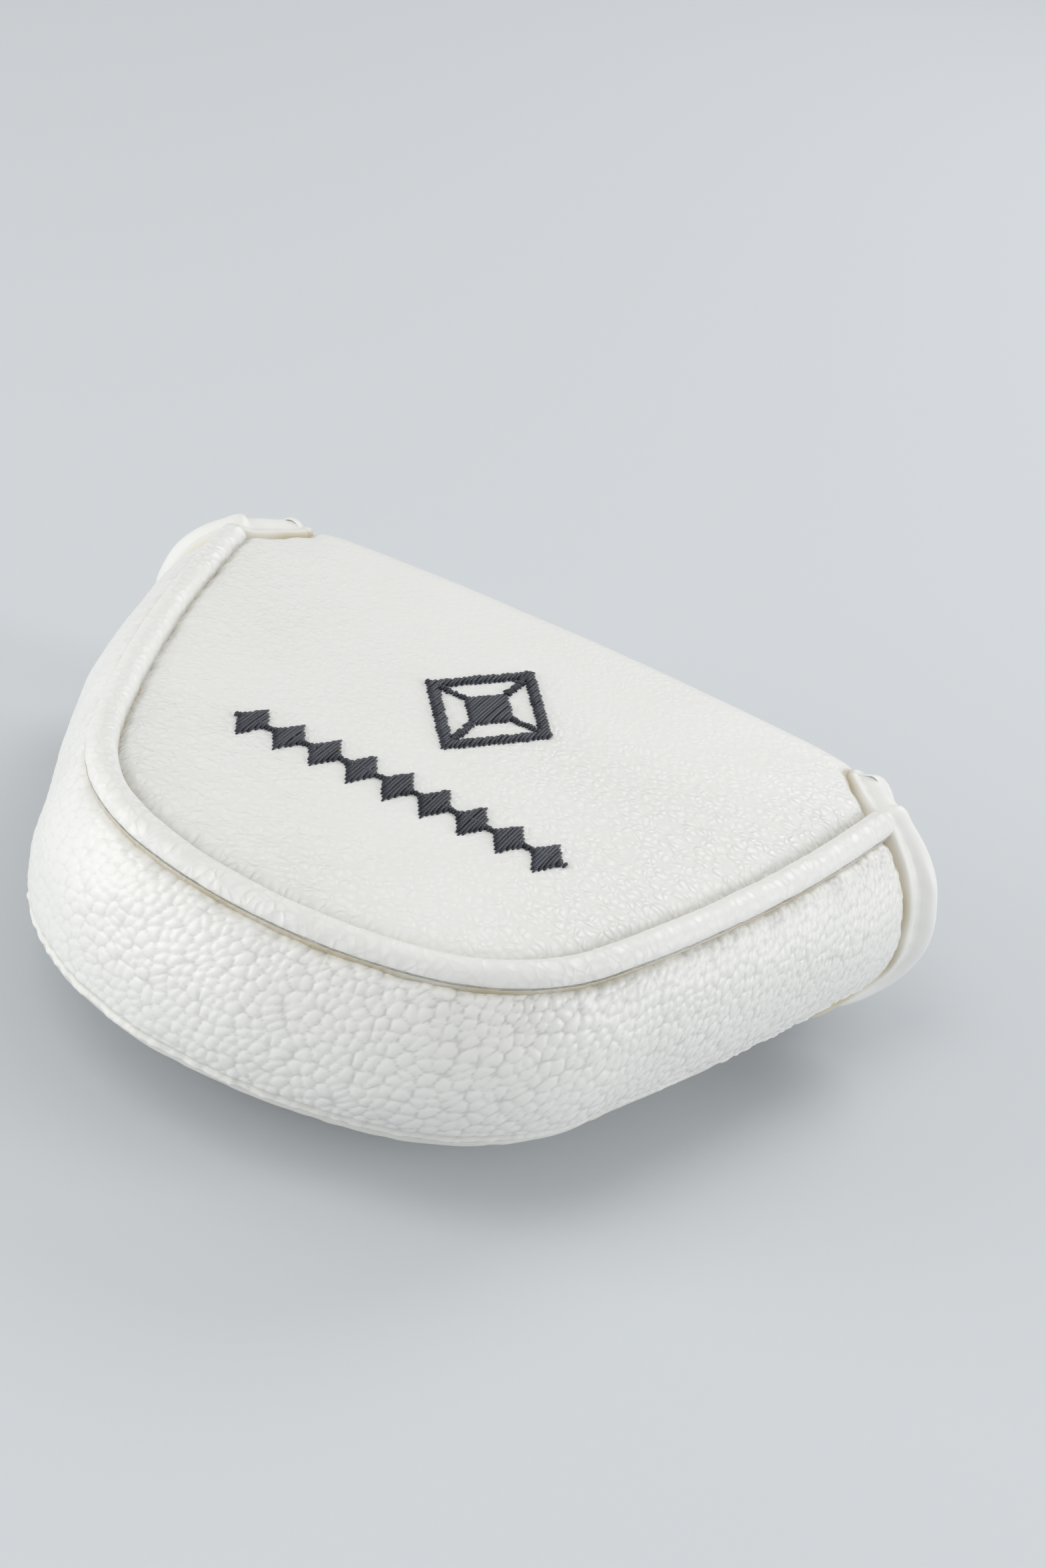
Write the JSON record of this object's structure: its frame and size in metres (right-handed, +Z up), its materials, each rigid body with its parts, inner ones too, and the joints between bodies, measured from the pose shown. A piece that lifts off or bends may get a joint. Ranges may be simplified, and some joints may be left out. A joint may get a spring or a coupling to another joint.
{
  "type": "putter head cover",
  "caption": "Padded leather cover for a mallet putter head: piped D-shaped panel, rounded gusset, open heel-side mouth and a face flap whose tongue closes under the head.",
  "frame": {"origin": "centre of the bounding box's underside, with the cover closed", "axes": "+X across the cover towards the heel, +Y out of the face side where the flap hangs, +Z up out of the embroidered panel"},
  "size_m": [0.1314, 0.1084, 0.0391],
  "materials": {
    "panel_leather": "white pebbled synthetic leather, semi-matt",
    "trim_leather": "smooth white synthetic leather, semi-matt, with a faint grain",
    "foam": "soft sheet foam, sealed inside",
    "lining": "dark brushed fleece",
    "cord": "soft filler cord, sealed inside the piping",
    "closure_tape": "white hook-and-loop tape",
    "thread": "near-black blue embroidery thread, satin stitched"
  },
  "bodies": {
    "cover": {"top_panel_skin": "panel_leather", "top_panel_foam": "foam", "top_panel_lining": "lining", "piping_cover": "trim_leather", "piping_cord": "cord", "gusset_skin": "panel_leather", "gusset_foam": "foam", "gusset_lining": "lining", "under_seam_welt": "trim_leather", "under_panel_skin": "panel_leather", "under_panel_foam": "foam", "under_panel_lining": "lining", "under_panel_binding": "trim_leather", "mouth_binding_right": "trim_leather", "mouth_binding_left": "trim_leather", "corner_binding_right": "trim_leather", "corner_binding_left": "trim_leather", "loop_patch": "closure_tape", "crest_embroidery": "thread", "row_embroidery": "thread"},
    "face_flap": {"flap_skin": "panel_leather", "flap_foam": "foam", "flap_lining": "lining", "flap_binding_right": "trim_leather", "flap_binding_left": "trim_leather"},
    "flap_tongue": {"tongue_skin": "panel_leather", "tongue_foam": "foam", "tongue_lining": "lining", "tongue_binding": "trim_leather", "hook_patch": "closure_tape"}
  },
  "joints": [
    {"name": "flap_fold", "type": "hinge", "parent": "cover", "child": "face_flap", "pos_m": [0, 0.04865, 0.03805], "axis": [1, 0, 0], "range_deg": [0, 150]},
    {"name": "tongue_fold", "type": "hinge", "parent": "face_flap", "child": "flap_tongue", "pos_m": [0, 0.04865, 0.00405], "axis": [1, 0, 0], "range_deg": [0, 90]}
  ]
}
